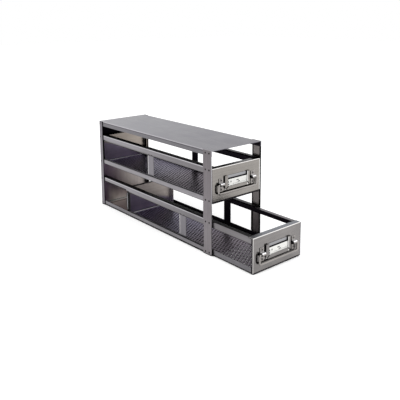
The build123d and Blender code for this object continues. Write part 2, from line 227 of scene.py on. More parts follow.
def toned(tree, colour, tone):
    """A colour, a socket or not, times a number."""
    grey = tree.nodes.new("ShaderNodeCombineColor")
    for part in grey.inputs:
        tree.links.new(tone, part)
    return mixed(tree, 1.0, colour, grey.outputs["Color"], "MULTIPLY")


def axis_part(tree, vector, axis):
    """One of the three parts of a vector."""
    node = tree.nodes.new("ShaderNodeSeparateXYZ")
    tree.links.new(vector, node.inputs["Vector"])
    return node.outputs[axis]


def turned_to(tree, axis, sign):
    """How far a face looks along an axis of its own piece, from -1 to 1."""
    place = tree.nodes.new("ShaderNodeTexCoord")
    return maths(tree, "MULTIPLY", axis_part(tree, place.outputs["Normal"], axis), sign)


# A mask is a function that takes a node tree and gives a number from 0 to 1.


def fade(axis, start, end):
    """A mask that goes from 0 at one place on an axis to 1 at another."""
    return lambda tree: ranged(tree, axis_part(tree, coordinate(tree), axis), start, end, 0, 1)


def span(axis, low, high, soft=0.3 * MM):
    """A mask that is 1 between two places on an axis and fades over a soft step at each."""
    return where(fade(axis, low - soft, low + soft), fade(axis, high + soft, high - soft))


def strip(axis, edge, width, soft=0.4 * MM):
    """A mask of a strip along an edge. A width below nought lies on the lower side of the edge."""
    soft = np.copysign(soft, width)
    return fade(axis, edge + width + soft, edge + width - soft)


def looking(axis, sign, low=0.55, high=0.9):
    """A mask of the faces that look along an axis: 0 at the low cosine of the angle off it, 1 at the
    high one."""
    return lambda tree: ranged(tree, turned_to(tree, axis, sign), low, high, 0, 1)


BEND_START = (0.15, 0.35)  # cosines between which a bend's mask sets in, next to the flat beside it
BEND_END = (0.94, 0.8)  # and between which it goes out again, next to the face along the axis


def bend_towards(axis, sign):
    """A mask of the part of a bend that lies between the axis's direction and the flat beside it."""
    return where(looking(axis, sign, *BEND_START), looking(axis, sign, *BEND_END))


def where(*masks):
    """A mask of the places that lie in all the masks."""
    def meet(tree):
        share = masks[0](tree)
        for mask in masks[1:]:
            share = maths(tree, "MULTIPLY", share, mask(tree))
        return share
    return meet


LEFT_HALF = fade(ALONG_X, MM, -MM)  # masks of what lies left and right of the middle
RIGHT_HALF = fade(ALONG_X, -MM, MM)
INNER_RIGHT = where(RIGHT_HALF, looking(ALONG_X, -1))  # faces on the right side that look inwards


def open_share(tree, reach):
    """How open a point is to what lies around it, from 0 in a seam to 1 on an open face."""
    node = tree.nodes.new("ShaderNodeAmbientOcclusion")
    node.samples = 8
    node.inputs["Distance"].default_value = reach
    return node.outputs["AO"]


def new_material(name):
    """An empty material with its main shader; gives the material, its node tree and the shader."""
    material = bpy.data.materials.new(name)
    material.use_nodes = True
    tree = material.node_tree
    return material, tree, tree.nodes["Principled BSDF"]


GRAIN_SCALE = 1400.0  # brush lines a metre, across the brushing
GRAIN_STRETCH = 9.0  # waves a metre along a brush line
COARSE_ACROSS = GRAIN_SCALE / 6  # the same two of the coarser lines
COARSE_ALONG = GRAIN_STRETCH / 2
CLOUD_SCALE = 14.0  # slow changes of tone, in waves a metre
FINE_CHANGE = 0.07  # share by which the brush lines change the tone
COARSE_CHANGE = 0.05
CLOUD_CHANGE = 0.09
FINE_SPREAD = (0.25, 0.75)  # the part of its range that fine noise fills
SLOW_SPREAD = (0.3, 0.7)
# The seam darkening is painted shade in seams and creases, by how closed in a point is
SEAM_REACH = 6 * MM
SEAM_OPEN = (0.35, 0.95)  # how open a seam and an open face are
EDGE_RADIUS = 0.6 * MM
EDGE_TURN = (0.75, 0.995)  # cosine of the turn at a rounded edge and on a flat face
EDGE_LIGHT = 1.25  # tone of a rounded edge: painted highlight and wear
ROUGH_FINE = 0.05  # change of roughness by the brush lines
ROUGH_SLOW = (-0.05, 0.06)  # and by the clouds
BUMP_STRENGTH = 0.12
BUMP_DEPTH = 0.2 * MM


def brushed(name, colour, grain, shades=(), rough=0.36, seam=0.55, matt_highlight=None):
    """Brushed sheet: fine lines along the grain, slow clouds of tone, painted shade in seams, and brighter
    rounded edges that are painted highlight and wear. Each shade is a mask and the colour that is laid
    there, in turn. The matt highlight mask is of places with a painted highlight that are matt and scatter
    light."""
    material, tree, shader = new_material(name)
    scale = [GRAIN_SCALE] * 3
    scale[grain] = GRAIN_STRETCH
    lines = noise(tree, scale, detail=2.0, roughness=0.6)
    coarse_scale = [COARSE_ACROSS] * 3
    coarse_scale[grain] = COARSE_ALONG
    coarse = noise(tree, coarse_scale, detail=2.0, roughness=0.5)
    clouds = noise(tree, (CLOUD_SCALE,) * 3, roughness=0.6)
    base = colour
    for mask, shade_colour in shades:
        base = mixed(tree, mask(tree), base, shade_colour)
    tone = ranged(tree, lines, *FINE_SPREAD, -FINE_CHANGE, FINE_CHANGE)
    tone = maths(tree, "ADD", tone, ranged(tree, coarse, *SLOW_SPREAD, -COARSE_CHANGE, COARSE_CHANGE))
    tone = maths(tree, "ADD", tone, ranged(tree, clouds, *SLOW_SPREAD, 1 - CLOUD_CHANGE, 1 + CLOUD_CHANGE))
    # painted shade in the seams
    tone = maths(tree, "MULTIPLY", tone, ranged(tree, open_share(tree, SEAM_REACH), *SEAM_OPEN, 1 - seam, 1))
    # painted highlight and wear on rounded edges
    tone = maths(tree, "MULTIPLY", tone, edge_highlight_and_wear(tree, 1.0, EDGE_LIGHT))
    tree.links.new(toned(tree, base, tone), shader.inputs["Base Color"])
    shader.inputs["Metallic"].default_value = 1.0
    if matt_highlight:
        tree.links.new(ranged(tree, matt_highlight(tree), 0, 1, 1, 0, smooth=False), shader.inputs["Metallic"])
    slow_roughness = ranged(tree, clouds, *SLOW_SPREAD, rough + ROUGH_SLOW[0], rough + ROUGH_SLOW[1])
    fine_roughness = ranged(tree, lines, *FINE_SPREAD, -ROUGH_FINE, ROUGH_FINE)
    tree.links.new(maths(tree, "ADD", slow_roughness, fine_roughness), shader.inputs["Roughness"])
    bump = tree.nodes.new("ShaderNodeBump")
    bump.inputs["Strength"].default_value = BUMP_STRENGTH
    bump.inputs["Distance"].default_value = BUMP_DEPTH
    tree.links.new(lines, bump.inputs["Height"])
    tree.links.new(bump.outputs["Normal"], shader.inputs["Normal"])
    return material


def edge_highlight_and_wear(tree, plain, edge_tone):
    """A number for open faces and another for rounded-off edges, by how far a softened normal turns."""
    soft = tree.nodes.new("ShaderNodeBevel")
    soft.samples = 4
    soft.inputs["Radius"].default_value = EDGE_RADIUS
    place = tree.nodes.new("ShaderNodeNewGeometry")
    turn = tree.nodes.new("ShaderNodeVectorMath")
    turn.operation = "DOT_PRODUCT"
    tree.links.new(soft.outputs["Normal"], turn.inputs[0])
    tree.links.new(place.outputs["Normal"], turn.inputs[1])
    return ranged(tree, turn.outputs["Value"], *EDGE_TURN, edge_tone, plain)


COVER_SHADE_REAR = 100 * MM  # where the cover's painted shade towards the front sets in
RAIL_SHADE = (100 * MM, -150 * MM)  # where the rails' painted shade towards the posts sets in, and where it is full


def cover_finish(colours):
    """The cover: painted shade down its sides, towards the front, on the right flange's inner face and
    underneath, a dark painted shade line under the fold and a painted highlight on it.
    """
    low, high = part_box("top_cover")
    side = looking(ALONG_X, -1)
    shades = (
        (fade(ALONG_Y, COVER_SHADE_REAR, low.y), colours.cover_front_shade),
        (side, colours.side_shade),
        (where(side, span(ALONG_Z, high.z - 3.8 * MM, high.z - 2.2 * MM)), colours.shade_line),
        (bend_towards(ALONG_Z, 1), colours.bend_highlight),
        (INNER_RIGHT, colours.dark),
        (looking(ALONG_Z, -1), colours.black),
    )
    return brushed("cover_steel", colours.cover, ALONG_Y, shades)


CORNER_LIGHT = 8 * MM  # height at the rack's middle of the line below which the rear panel has painted light
CORNER_SLOPE = 0.55
CORNER_SOFT = 18 * MM


def rear_finish(colours):
    """The rear panel: painted light and shade on its inner face, from violet grey at the left to warm grey
    at the right, paling towards its lower right corner; painted shade in black above the upper drawer's
    wall, in its left corner and along its foot, dull painted shade lines along the flanges' folds, and dark
    painted shade on the right flange's inner face."""
    low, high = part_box("rear_panel")
    side = looking(ALONG_X, -1)
    inside = looking(ALONG_Y, -1)
    below = below_slope(CORNER_LIGHT, CORNER_SLOPE, CORNER_SOFT)
    lit_corner = where(inside, below, fade(ALONG_X, -60 * MM, -30 * MM))
    wall_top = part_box("upper_rear_wall")[1].z
    shades = (
        (inside, colours.rear_inside_light),
        (where(inside, fade(ALONG_X, 0.2 * high.x, low.x)), colours.rear_inside_shade),
        (where(inside, strip(ALONG_Z, wall_top, -3 * MM, 2 * MM)), colours.black),
        (lit_corner, colours.rear_corner_light),
        (where(inside, strip(ALONG_X, low.x, 6 * MM, MM)), colours.black),
        (where(side, strip(ALONG_Y, high.y, -2.5 * MM, MM)), colours.shade_line),
        (where(side, span(ALONG_Z, high.z - 2 * MM, high.z + MM)), colours.shade_line),
        (INNER_RIGHT, colours.dark),
        (strip(ALONG_Z, 0, 1.8 * MM), colours.black),
    )
    return brushed("rear_steel", colours.rear, ALONG_Z, shades)


POST_WIDTH = 25 * MM


def post_finish(colours):
    """The posts: painted light towards the bottom, a painted highlight on the left one's front edge, painted
    shade in black on the right one's front edge, painted light on the right one's inner face with painted
    shade in black along its borders, and painted shade in black along their feet."""
    low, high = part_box("right_post")
    rear = low.y + POST_WIDTH
    shades = (
        (fade(ALONG_Z, high.z, low.z), colours.posts_low_light),
        (where(LEFT_HALF, looking(ALONG_Y, -1)), colours.bend_highlight),
        (where(RIGHT_HALF, looking(ALONG_Y, -1)), colours.black),
        (INNER_RIGHT, colours.post_inside_light),
        (where(INNER_RIGHT, strip(ALONG_Y, low.y, 3.75 * MM, 0.75 * MM)), colours.black),
        (where(INNER_RIGHT, strip(ALONG_Y, rear, -3.75 * MM, 0.75 * MM)), colours.black),
        (strip(ALONG_Z, 0, 1.4 * MM), colours.black),
    )
    return brushed("post_steel", colours.posts, ALONG_Z, shades)


def rear_seam_shade():
    """A mask of the painted shade line where runners meet the front edge of the rear panel's flange."""
    flange_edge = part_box("rear_panel")[0].y
    return span(ALONG_Y, flange_edge - 2.8 * MM, flange_edge + 0.5 * MM)


def rail_finish(colours, level):
    """The guide rails: painted shade towards the posts, a painted highlight along the top bend, painted dark
    reflection in black on the top legs, dark painted shade on the right rails' inner faces, and painted
    shade in black at each web's foot behind the drawer and at the rear seam."""
    low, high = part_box(f"{level}_left_rail")
    drawer_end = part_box(f"{level}_left_side")[1].y
    behind_drawer = fade(ALONG_Y, drawer_end, drawer_end + MM)
    under_web_shade = where(strip(ALONG_Z, low.z, 2.5 * MM, 0.3 * MM), behind_drawer)
    shades = (
        (fade(ALONG_Y, *RAIL_SHADE), colours.runners_front_shade),
        (strip(ALONG_Z, high.z, -3.5 * MM, 0.3 * MM), colours.bend_highlight),
        (strip(ALONG_Z, high.z, -1.7 * MM, 0.3 * MM), colours.black),
        (INNER_RIGHT, colours.dark),
        (under_web_shade, colours.black),
        (rear_seam_shade(), colours.black),
    )
    return brushed(f"{level}_rail_steel", colours.runners, ALONG_Y, shades)


def shelf_finish(colours, level):
    """The shelves: painted light on their upper faces, with a painted highlight line at the rear; painted
    shade in black along the foot, the lower bend and the rear seam, and dark on the right inner faces.
    """
    low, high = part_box(f"{level}_shelf")
    top = where(looking(ALONG_Z, 1), fade(ALONG_X, low.x + 3 * MM, low.x + 4 * MM))
    # foot: height of the painted shade strip along each shelf's bottom
    colour, foot = {"lower": (colours.lower_shelf, 3.6 * MM), "upper": (colours.runners, 1.2 * MM)}[level]
    shades = (
        (strip(ALONG_Z, low.z, foot), colours.black),
        (top, colours.shelf_top_light),
        (where(top, strip(ALONG_Y, high.y, -6 * MM, 0.5 * MM)), colours.strong_highlight),
        (INNER_RIGHT, colours.dark),
        (looking(ALONG_Z, -1, 0.1, 0.45), colours.black),
        (rear_seam_shade(), colours.black),
    )
    return brushed(f"{level}_shelf_steel", colour, ALONG_Y, shades)


def front_finish(colours, level):
    """A drawer's front, smoother than the rest: painted shade on the top lip, a painted highlight along the
    top bend, a painted highlight along one side edge and a painted shade line along the other, and painted
    shade along the bottom and on the rear face."""
    low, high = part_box(f"{level}_front_panel")
    face = looking(ALONG_Y, -1)
    # lip, left_line and right_line: painted shade on the top lip, and painted highlight and shade lines
    # along the side edges
    colour, lip, left_line, right_line = {
        "lower": (colours.lower_front, colours.front_lip_shade, colours.highlight, colours.shade_line),
        "upper": (colours.upper_front, colours.dark, colours.shade_line, colours.highlight),
    }[level]
    shades = (
        (looking(ALONG_Z, 1), lip),
        (bend_towards(ALONG_Z, 1), colours.highlight),
        (where(face, strip(ALONG_X, low.x, 1.1 * MM, 0.3 * MM)), left_line),
        (where(face, strip(ALONG_X, high.x, -1.9 * MM, 0.5 * MM)), right_line),
        (where(face, strip(ALONG_Z, low.z, 1.8 * MM)), colours.dark),
        (looking(ALONG_Y, 1), colours.dark),
    )
    return brushed(f"{level}_front_steel", colour, ALONG_X, shades, rough=0.22, seam=0.25)


UPPER_BAND = 13.7 * MM  # height of a drawer's side above its windows


def side_finish(colours, level):
    """A drawer's sides: painted dark reflection in black on the top lips, lighter on the right rim; painted
    shade in black along the windows' tops, the undersides, the rear band and the seam behind the front;
    painted shade on the lower bands and inner faces; a painted highlight on the front of the rear ear.
    """
    low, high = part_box(f"{level}_left_side")
    outer_face = looking(ALONG_X, -1)
    ear_root = high.y - MM
    window_top = high.z - UPPER_BAND
    ear_highlight = where(LEFT_HALF, looking(ALONG_Y, -1), strip(ALONG_Y, ear_root, -1.5 * MM, 0.5 * MM))
    shades = (
        (where(outer_face, span(ALONG_Z, window_top - MM, window_top + 1.2 * MM)), colours.black),
        (strip(ALONG_Z, low.z, 12 * MM, MM), colours.side_shade),
        (looking(ALONG_Z, 1), colours.black),
        (where(RIGHT_HALF, looking(ALONG_Z, 1)), colours.right_rim_reflection),
        (looking(ALONG_Z, -1, 0.1, 0.45), colours.black),
        (INNER_RIGHT, colours.dark),
        (where(LEFT_HALF, looking(ALONG_X, 1)), colours.dark),
        (where(LEFT_HALF, outer_face, strip(ALONG_Y, low.y, 4.6 * MM)), colours.black),
        (where(outer_face, strip(ALONG_Y, ear_root, -6 * MM, 0.5 * MM)), colours.black),
        (ear_highlight, colours.strong_highlight),
    )
    return brushed(f"{level}_side_steel", colours.drawers, ALONG_Y, shades)


WALL_SHADE = 34 * MM  # height at the middle of the line below which a wall has painted shade
WALL_SLOPE = 0.28


def wall_finish(colours, level):
    """A drawer's rear wall: warm grey above, with painted shade in dark violet below a line that falls to
    the right and in black along its lip, dark painted shade on the faces that look sideways, and on the
    right tab's inner face a painted highlight on the lower drawer and painted shade on the upper one."""
    low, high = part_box(f"{level}_rear_wall")
    # tab: a painted highlight on the lower drawer's right tab and painted shade on the upper one's
    lit, tab = {
        "lower": (colours.lower_wall, colours.strong_highlight),
        "upper": (colours.upper_wall, colours.black),
    }[level]
    shades = (
        (below_slope(low.z + WALL_SHADE, WALL_SLOPE), colours.wall_low_shade),
        (strip(ALONG_Z, high.z, -2.2 * MM), colours.black),
        (where(LEFT_HALF, looking(ALONG_X, -1)), colours.dark),
        (INNER_RIGHT, tab),
        (looking(ALONG_X, 1), colours.dark),
    )
    return brushed(f"{level}_wall_steel", lit, ALONG_X, shades)


def below_slope(middle, slope, soft=4 * MM):
    """A mask of what lies below a line: the height plus the slope times the place across is less than
    the line's height at the middle."""
    def under(tree):
        place = coordinate(tree)
        fall = maths(tree, "MULTIPLY", axis_part(tree, place, ALONG_X), slope)
        level = maths(tree, "ADD", axis_part(tree, place, ALONG_Z), fall)
        return ranged(tree, level, middle + soft, middle - soft, 0, 1)
    return under


def divider_finish(colours, level):
    """The dividers of a drawer's windows, with painted shade on the right ones' inner faces and a painted
    highlight along the left ones' rear edges.
    """
    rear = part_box(f"{level}_left_divider")[1].y
    edge = where(LEFT_HALF, strip(ALONG_Y, rear, -1.2 * MM))
    shades = ((INNER_RIGHT, colours.dark), (edge, colours.highlight))
    return brushed(f"{level}_divider_steel", colours.dividers, ALONG_Z, shades)


def floor_finish(colours, level):
    """A perforated floor: a painted change of light towards the rear, where it is bluer, painted shade on
    the holes' walls and the underside, and a matt pale painted highlight line at the rear wall."""
    low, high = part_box(f"{level}_floor")
    top = looking(ALONG_Z, 1)
    middle = (low.y + high.y) / 2
    rear_highlight_line = where(top, strip(ALONG_Y, high.y, -4.3 * MM, 0.3 * MM))
    shades = (
        (top, colours.floors),
        (where(top, fade(ALONG_Y, middle - 40 * MM, middle + 60 * MM)), colours.floors_rear_light),
        (rear_highlight_line, colours.strong_highlight),
    )
    return brushed(f"{level}_floor_steel", colours.hole_shade, ALONG_Y, shades, seam=0.2, matt_highlight=rear_highlight_line)


def strap_finish(colours):
    """The handle's straps: painted highlights on the tops of the humps, painted shade in black below and
    along the left edges, and a dull painted shade line on the right edges.
    """
    shades = (
        (looking(ALONG_Z, 1, 0.2, 0.6), colours.strong_highlight),
        (looking(ALONG_Z, -1, 0.15, 0.5), colours.black),
        (looking(ALONG_X, -1), colours.black),
        (looking(ALONG_X, 1), colours.shade_line),
    )
    return brushed("strap_steel", colours.straps, ALONG_Z, shades, rough=0.28)


HOLDER_LIP = 8 * MM  # width of the lips at the holder's sides
HOLDER_FOOT = 7 * MM  # height of the lip at its bottom
MITRE_HALF = 2.0 * MM  # half the width of a mitre's painted shade line, up the holder
MITRE_CORE = 1.2 * MM  # half the width of the part of it that is fully black


def holder_finish(colours, level):
    """A card holder: the front's tone on its channels, painted shade in black on the outer walls, the mitres
    and the lower faces, a dull painted shade line on the right faces, a painted highlight along the right
    lip's inner edge, and a bluish plate with a painted shadow line in black where the card's top edge
    stands."""
    low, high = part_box(f"{level}_card_holder")
    card_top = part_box(f"{level}_label_card")[1].z
    colour = {"lower": colours.lower_front, "upper": colours.upper_front}[level]
    plate = strip(ALONG_Y, high.y, -1.4 * MM, 0.2 * MM)
    on_plate = where(plate, looking(ALONG_Y, -1))
    lip_edge = high.x - HOLDER_LIP
    shades = (
        (on_plate, colours.holder_plate),
        (where(on_plate, span(ALONG_Z, card_top - MM, card_top + 3.2 * MM)), colours.black),
        (where(looking(ALONG_Y, -1), span(ALONG_X, lip_edge, lip_edge + 2.2 * MM)), colours.highlight),
        (mitre_shade_lines(low, high), colours.black),
        (looking(ALONG_X, -1), colours.black),
        (looking(ALONG_X, 1), colours.shade_line),
        (looking(ALONG_Z, -1, 0.2, 0.5), colours.black),
    )
    return brushed(f"{level}_holder_steel", colour, ALONG_X, shades)


def mitre_shade_lines(low, high):
    """A mask of the painted shade lines along the two mitres of a card holder's lip: the height over the
    holder's bottom, less the mitre's slope times the distance in from the holder's side, is nought along a
    mitre."""
    slope = HOLDER_FOOT / HOLDER_LIP

    def along(tree):
        across = maths(tree, "ABSOLUTE", axis_part(tree, coordinate(tree), ALONG_X), 0)
        inward = maths(tree, "SUBTRACT", high.x, across)
        height = maths(tree, "SUBTRACT", axis_part(tree, coordinate(tree), ALONG_Z), low.z)
        over = maths(tree, "SUBTRACT", height, maths(tree, "MULTIPLY", inward, slope))
        off = maths(tree, "ABSOLUTE", over, 0)
        return ranged(tree, off, MITRE_CORE, MITRE_HALF, 1, 0)

    return where(along, strip(ALONG_Z, low.z, HOLDER_FOOT + 0.5 * MM, 0.5 * MM))


def wire_finish(colours):
    """A bail's wire: as bright as the front before it, with painted shade in black on its rear half, which
    the front mirrors as a dark line.
    """
    shades = ((looking(ALONG_Y, 1, -0.25, 0.1), colours.black),)
    return brushed("wire_steel", colours.wire, ALONG_X, shades, rough=0.3, seam=0.2)


FIBRE_SCALE = 900.0  # waves a metre in the card's paper
FIBRE_TONE = (0.97, 1.0)
CARD_MARKS = (
    # left, right, low and high, as shares of half the card's width and height
    (-0.82, -0.70, 0.30, 0.62), (-0.82, -0.70, -0.18, 0.14), (-0.82, -0.70, -0.66, -0.34),
    (-0.58, -0.50, 0.30, 0.62), (-0.58, -0.50, -0.66, -0.34),
    (-0.08, 0.12, 0.42, 0.60), (0.02, 0.22, 0.06, 0.24),
    (-0.40, 0.85, -0.10, -0.05), (-0.40, 0.85, -0.40, -0.35), (-0.40, 0.85, -0.70, -0.65),
)


def card_finish(colours, level):
    """Matt card with a generic form: tick boxes, two bars and three writing lines."""
    low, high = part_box(f"{level}_label_card")
    middle = (low + high) / 2
    half = (high - low) / 2
    material, tree, shader = new_material(f"{level}_card_paper")
    base = colours.card
    front = looking(ALONG_Y, -1)
    for left, right, bottom, top in CARD_MARKS:
        across = span(ALONG_X, middle.x + left * half.x, middle.x + right * half.x, 0.1 * MM)
        over = span(ALONG_Z, middle.z + bottom * half.z, middle.z + top * half.z, 0.1 * MM)
        base = mixed(tree, where(front, across, over)(tree), base, colours.ruling)
    fibres = ranged(tree, noise(tree, (FIBRE_SCALE,) * 3), *SLOW_SPREAD, *FIBRE_TONE)
    tree.links.new(toned(tree, base, fibres), shader.inputs["Base Color"])
    shader.inputs["Roughness"].default_value = 0.75
    return material


def rivet_finishes(name, colour, colours):
    """A rivet's head, and painted shade in black in the recess that the pulling pin leaves in it."""
    return brushed(f"{name}_steel", colour, ALONG_Z), brushed(f"{name}_recess", colours.black, ALONG_Z)


def dress(material, *nodes):
    """Gives CAD nodes their material."""
    for name in nodes:
        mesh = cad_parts[name].data
        mesh.materials.clear()
        mesh.materials.append(material)


SAME_PLACE = 1e-6  # metres within which corners are one
NO_LENGTH = 1e-7  # metres below which an edge is none


def put_mesh(name, points, faces, materials=(), tones=None, smooth=True):
    """A new piece at the origin from an array of corners and an array of four-cornered faces. Corners
    in one place are merged, which closes seams and poles, and all faces turned outwards. The tones
    are the number of each face's material."""
    mesh = bpy.data.meshes.new(name)
    mesh.from_pydata(points.reshape(-1, 3), [], faces.reshape(-1, 4).tolist())
    for material in materials:
        mesh.materials.append(material)
    if tones is not None:
        mesh.polygons.foreach_set("material_index", tones)
    build = bmesh.new()
    build.from_mesh(mesh)
    bmesh.ops.remove_doubles(build, verts=build.verts, dist=SAME_PLACE)
    bmesh.ops.dissolve_degenerate(build, dist=NO_LENGTH, edges=build.edges)
    bmesh.ops.recalc_face_normals(build, faces=build.faces)
    for face in build.faces:
        face.smooth = smooth
    build.to_mesh(mesh)
    build.free()
    piece = bpy.data.objects.new(name, mesh)
    bpy.context.scene.collection.objects.link(piece)
    return piece


def stand_for(piece, node, body):
    """A piece takes the place of a CAD node, and moves with a body."""
    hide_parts(node)
    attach(piece, body)


def grid_faces(rows, columns):
    """The faces of a grid of corners, row by row; the columns run round and meet."""
    across = np.arange(columns)
    row = np.arange(rows - 1)[:, None]
    after = (across + 1) % columns
    corners = (row * columns + across, row * columns + after,
               (row + 1) * columns + after, (row + 1) * columns + across)
    return np.stack(corners, axis=-1).reshape(-1, 4)


def copies(points, faces, places):
    """A shape's corners and faces repeated at each place."""
    shifted = points[None] + np.asarray(places)[:, None]
    steps = np.arange(len(places))[:, None, None] * len(points)
    return shifted.reshape(-1, 3), (faces[None] + steps).reshape(-1, 4)


HOLE_SIDES = 12


def perforated_sheet(low, high, pitch, hole, plain):
    """A flat sheet with round holes in staggered rows. Each hole has a cell of pitch by row pitch, the
    pitch times half the root of 3. A cell is a ring of quads from twelve corners on the hole, at steps
    of 30 degrees, to twelve on the cell's edge, at its corners, its quarter points and its side
    middles, so that a row that is shifted by half a pitch meets the next one corner to corner."""
    low, high = np.array(low), np.array(high)
    width, length = (high - low)[:2]
    row_pitch = pitch * np.sqrt(3) / 2
    rows = int((width - 2 * plain) / row_pitch)
    count = int((length - 2 * plain) / pitch - 0.5)
    turns = np.arange(HOLE_SIDES) * 2 * np.pi / HOLE_SIDES
    inner = np.stack((np.sin(turns), np.cos(turns)), axis=1) * hole / 2
    half_row, quarter = row_pitch / 2, pitch / 4
    right = [(0, 2), (1, 2), (1, 1), (1, 0), (1, -1), (1, -2), (0, -2)]
    outline = right + [(-1, -2), (-1, -1), (-1, 0), (-1, 1), (-1, 2)]
    outer = np.array(outline) * (half_row, quarter)
    cell, cell_faces = sheet_band(outer, inner, low[2], high[2])
    middle = (low + high)[:2] / 2
    row, column = np.meshgrid(np.arange(rows), np.arange(count), indexing="ij")
    shift = (row % 2) / 2 - 0.25
    x = middle[0] + (row - (rows - 1) / 2) * row_pitch
    y = middle[1] + (column - (count - 1) / 2 + shift) * pitch
    places = np.column_stack((x.ravel(), y.ravel(), np.zeros(rows * count)))
    points, faces = copies(cell, cell_faces, places)
    border_points, border_faces = sheet_border(low, high, x[:, 0], y[:, 0] - pitch / 2, count, pitch)
    return np.concatenate((points, border_points)), np.concatenate((faces, border_faces + len(points)))


def sheet_border(low, high, row_middles, starts, count, pitch):
    """The plain edge round the cells, as one closed band: the cells' outer corners, walked round once
    in quarter steps, are each joined to the nearest place on the sheet's outline."""
    half_row = pitch * np.sqrt(3) / 4
    ends = starts + count * pitch
    quarters = np.arange(4 * count + 1) * pitch / 4
    first, last = row_middles[0] - half_row, row_middles[-1] + half_row
    left = np.column_stack((np.full(len(quarters), first), starts[0] + quarters))
    right = np.column_stack((np.full(len(quarters), last), starts[-1] + quarters))[::-1]
    edges = np.column_stack((row_middles - half_row, row_middles, row_middles + half_row)).ravel()
    far = np.column_stack((edges, np.repeat(ends, 3)))
    near = np.column_stack((edges, np.repeat(starts, 3)))[::-1]
    walk = np.concatenate((left, far, right, near))
    stops = np.cumsum([0, len(left), len(far), len(right), len(near)])
    outline = walk.copy()
    outline[stops[0]:stops[1], 0] = low[0]
    outline[stops[1]:stops[2], 1] = high[1]
    outline[stops[2]:stops[3], 0] = high[0]
    outline[stops[3]:stops[4], 1] = low[1]
    corners = np.array([(low[0], high[1]), (high[0], high[1]), (high[0], low[1]), (low[0], low[1])])
    outline = np.insert(outline, stops[1:], corners, axis=0)
    inside = np.insert(walk, stops[1:], walk[stops[1:] - 1], axis=0)
    return sheet_band(inside, outline, low[2], high[2])


def sheet_band(near, far, low, high):
    """A closed band of sheet between two flat rings: across its top from the near ring to the far one,
    down, and back across its bottom."""
    rings = ((near, high), (far, high), (far, low), (near, low))
    points = np.concatenate([np.column_stack((ring, np.full(len(ring), z))) for ring, z in rings])
    return points, grid_faces(len(rings), len(near))


def turned(profile, sides, axis, sign):
    """A profile of (along, radius) pairs turned round an axis: each corner lies at its own place along
    the axis and at its radius times the cosine and sine of the angle across it."""
    profile = np.asarray(profile)
    turns = np.arange(sides) * 2 * np.pi / sides
    along = np.repeat(profile[:, :1] * sign, sides, axis=1)
    across = profile[:, 1:] * np.cos(turns)
    over = profile[:, 1:] * np.sin(turns)
    parts = {ALONG_X: (along, across, over), ALONG_Y: (across, along, over)}[axis]
    return np.stack(parts, axis=-1).reshape(-1, 3), grid_faces(len(profile), sides)


RIVET_SIDES = 10
DOME_STEPS = 3
RECESS_DEPTH = 0.7  # of the head's rise
SOLID_HEAD = 3.2 * MM  # the frame rivets' head in the solids, which gives their rows

# Head, rise of the head, shank, grip, tail, rise of the tail and recess of each kind of rivet
FRAME_RIVET = (4.0 * MM, 0.5 * MM, 2.4 * MM, 2.7 * MM, 2.8 * MM, 0.5 * MM, 1.4 * MM)
DIVIDER_RIVET = (2.8 * MM, 0.5 * MM, 1.6 * MM, 2.0 * MM, 2.8 * MM, 0.5 * MM, 1.2 * MM)
STRAP_RIVET = (4.8 * MM, 1.1 * MM, 2.4 * MM, 2.4 * MM, 4.0 * MM, 0.8 * MM, 3.0 * MM)


def rivet_shape(kind, axis, sign):
    """A pulled rivet whose head bears at the origin and looks along an axis. Its profile runs from the
    middle of the tail round to the middle of the head, which is a quarter of an ellipse that falls to
    a small round recess. Gives the corners, the faces and each face's tone, 1 in the recess."""
    head, rise, shank, grip, tail, tail_rise, recess = kind
    angle = np.linspace(0, np.pi / 2, DOME_STEPS)
    edge = recess / 2 + (head - recess) / 2 * np.cos(angle)
    dome = np.column_stack((rise * np.sin(angle), edge))
    back = [(-grip - tail_rise, 0), (-grip - tail_rise, tail / 2), (-grip, tail / 2), (-grip, shank / 2)]
    back += [(0, shank / 2)]
    pit = rise * (1 - RECESS_DEPTH)
    profile = np.concatenate((back, dome, [(pit, recess / 2), (pit, 0)]))
    points, faces = turned(profile, RIVET_SIDES, axis, sign)
    tones = np.zeros(len(faces), int)
    tones[-2 * RIVET_SIDES:] = 1
    return points, faces, tones


def rivet_set(row, kind, axis, places, materials):
    """A piece of several rivets. Each place is where a head bears and the sign of the way that it looks."""
    all_points, all_faces, all_tones = [], [], []
    for *place, sign in places:
        points, faces, tones = rivet_shape(kind, axis, sign)
        all_faces.append(faces + len(all_points) * len(points))
        all_points.append(points + place)
        all_tones.append(tones)
    joined = [np.concatenate(parts) for parts in (all_points, all_faces, all_tones)]
    return put_mesh(f"{row}_pulled_rivets", joined[0], joined[1], materials, joined[2])


def wire_path(corners, bend, steps=8):
    """The middle line of a bent wire: straight runs, and at each inner corner an arc that starts and
    ends where the bend's radius times the tangent of half the turn reaches along the two runs."""
    corners = np.asarray(corners, float)
    parts = [corners[:1]]
    for before, corner, after in zip(corners, corners[1:], corners[2:]):
        into = (corner - before) / np.linalg.norm(corner - before)
        out = (after - corner) / np.linalg.norm(after - corner)
        turn = np.arccos(np.clip(into @ out, -1, 1))
        side = (out - into * (into @ out)) / np.sin(turn)
        start = corner - into * bend * np.tan(turn / 2)
        angle = np.linspace(0, turn, steps)[:, None]
        parts.append(start + into * bend * np.sin(angle) + side * bend * (1 - np.cos(angle)))
    return np.concatenate(parts + [corners[-1:]])


